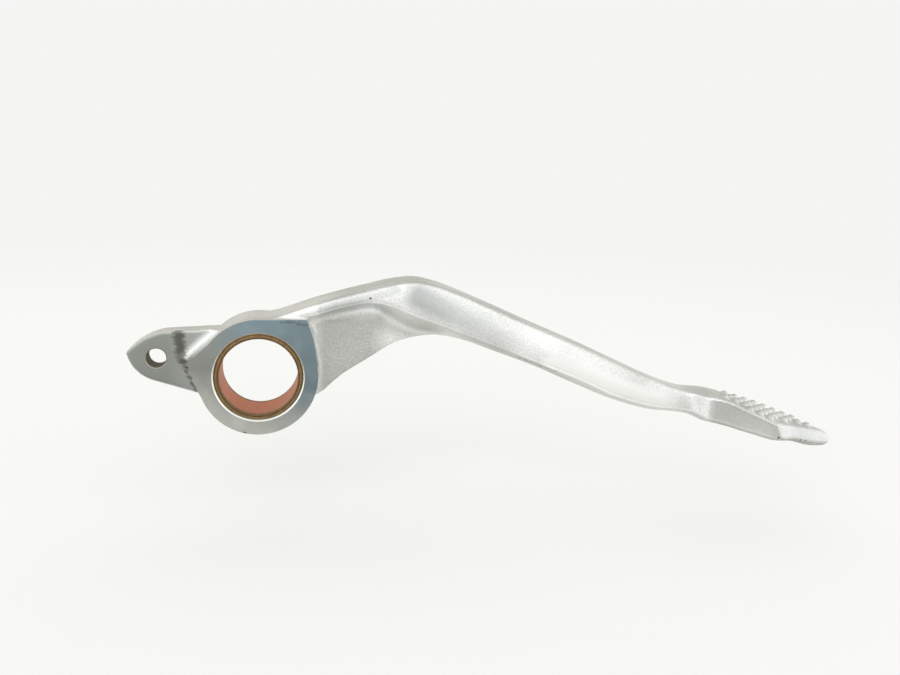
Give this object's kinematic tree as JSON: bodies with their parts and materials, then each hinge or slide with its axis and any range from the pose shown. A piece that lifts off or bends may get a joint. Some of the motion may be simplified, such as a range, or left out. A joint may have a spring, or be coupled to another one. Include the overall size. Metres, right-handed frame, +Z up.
{
  "type": "motorcycle rear brake pedal",
  "caption": "Cast aluminium brake pedal with a bushed pivot hub, a clevis lug, a cranked ribbed arm and a studded foot pad.",
  "frame": {"origin": "centre of the pivot bore, midway along the hub", "axes": "+Y along the pivot bore towards the motorcycle, +X towards the foot pad, +Z up"},
  "size_m": [0.2322, 0.0426, 0.0541],
  "materials": {
    "cast_aluminium": "blasted",
    "bush_metal": "satin"
  },
  "bodies": {
    "root": {"pedal_lever": "cast_aluminium", "pivot_bush": "bush_metal"}
  },
  "joints": []
}
